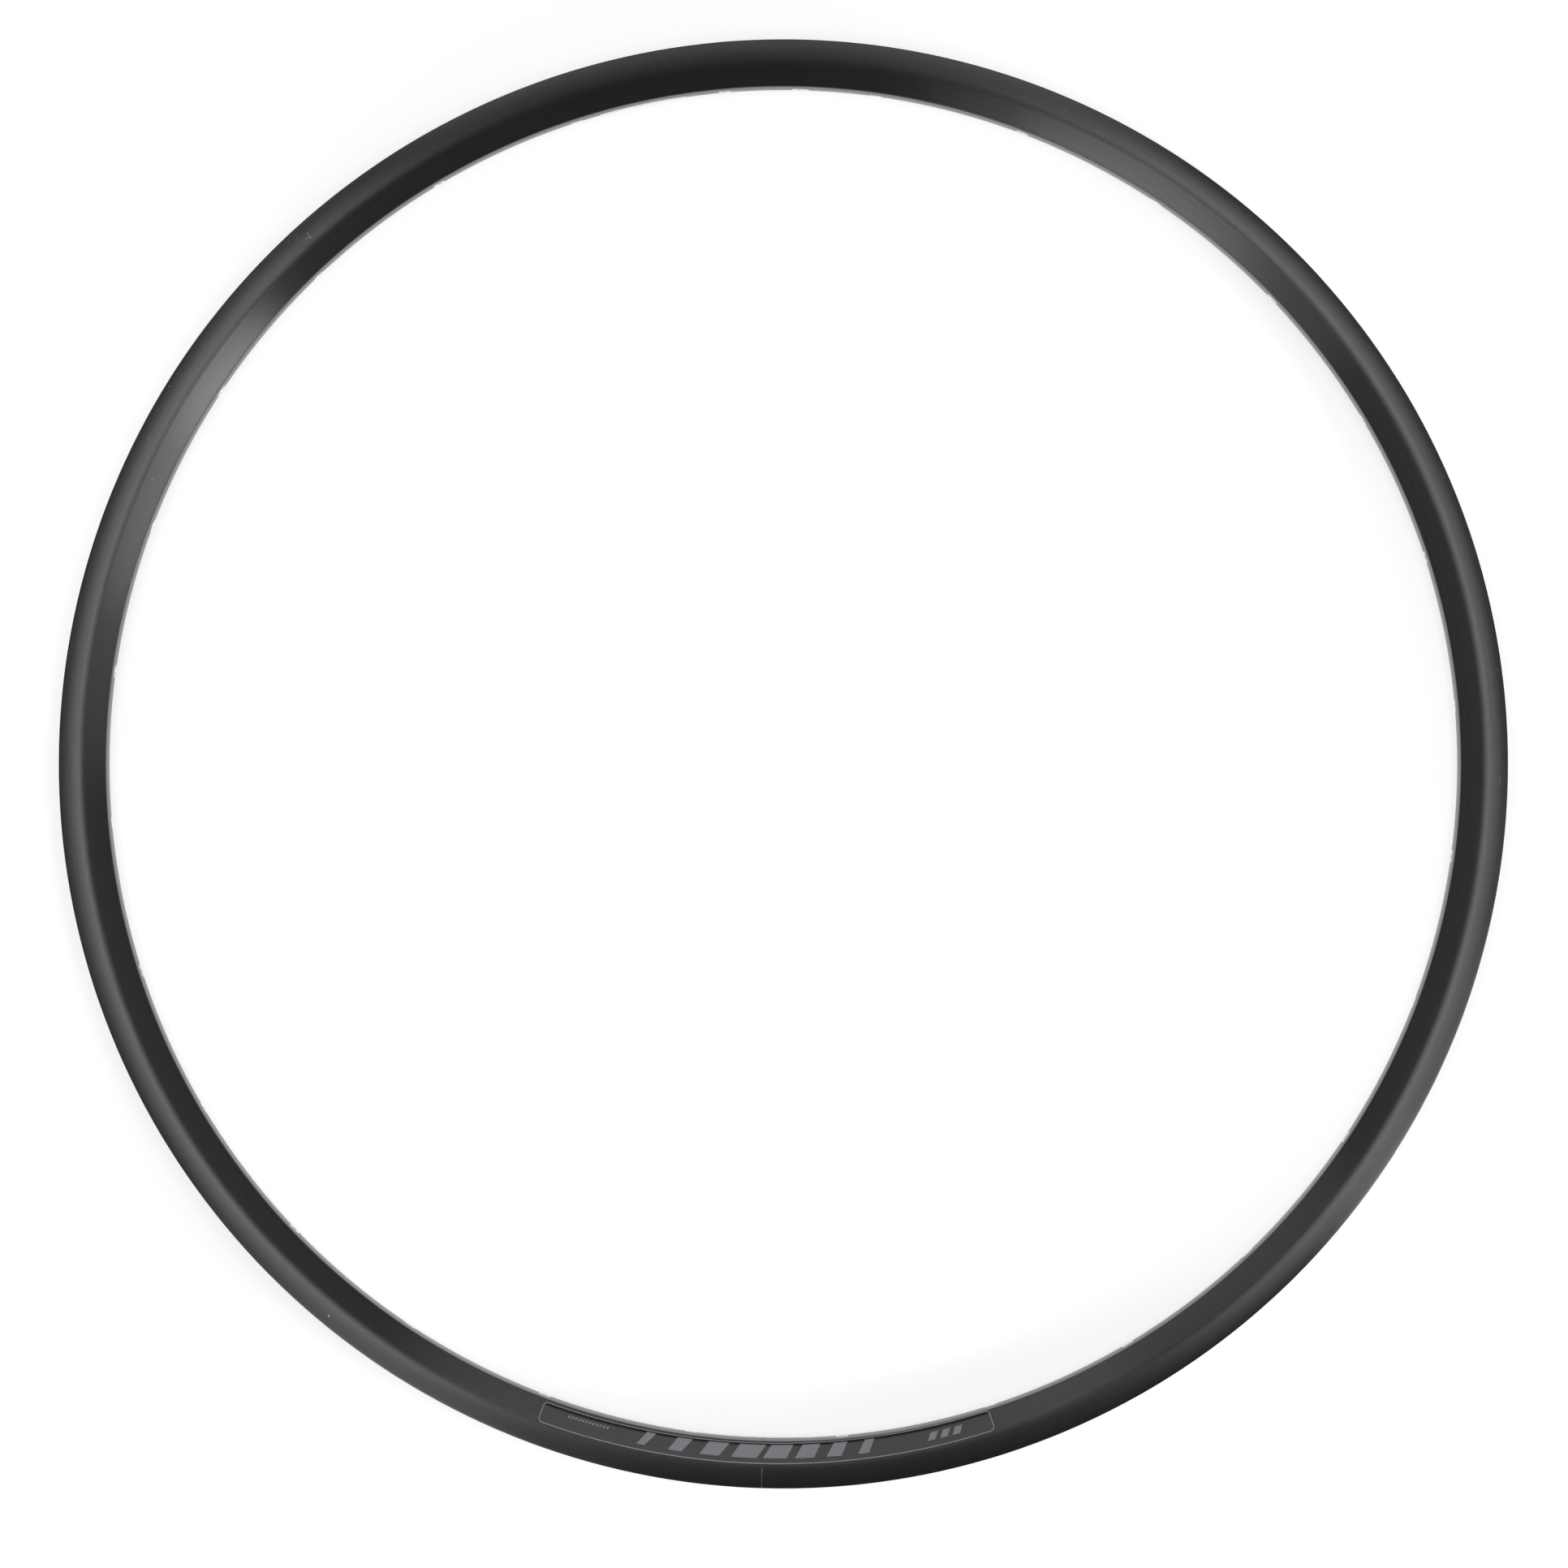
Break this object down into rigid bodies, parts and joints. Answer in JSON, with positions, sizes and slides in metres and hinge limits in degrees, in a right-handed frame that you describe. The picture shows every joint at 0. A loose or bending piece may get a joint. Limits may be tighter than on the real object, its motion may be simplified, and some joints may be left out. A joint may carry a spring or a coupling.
{
  "type": "bicycle rim",
  "caption": "Hollow double-wall bicycle rim with hooked flanges, radial spoke holes, a valve hole and a sleeved butt seam, to be laced to a hub and to carry a tyre.",
  "frame": {"origin": "middle of the wheel, on the axle line and midway across the rim", "axes": "+Z along the axle line, out of the side with the decal; +Y towards the valve hole"},
  "size_m": [0.596, 0.5959, 0.028],
  "materials": {
    "black_anodised": "satin black anodised over fine drawing lines",
    "bare_aluminium": "as extruded",
    "decal_vinyl": "satin printed vinyl",
    "label_film": "matt white film"
  },
  "bodies": {
    "root": {"rim_hoop": "black_anodised", "joint_sleeve": "bare_aluminium", "side_decal": "decal_vinyl", "bed_label": "label_film", "seam_label": "label_film"}
  },
  "joints": []
}
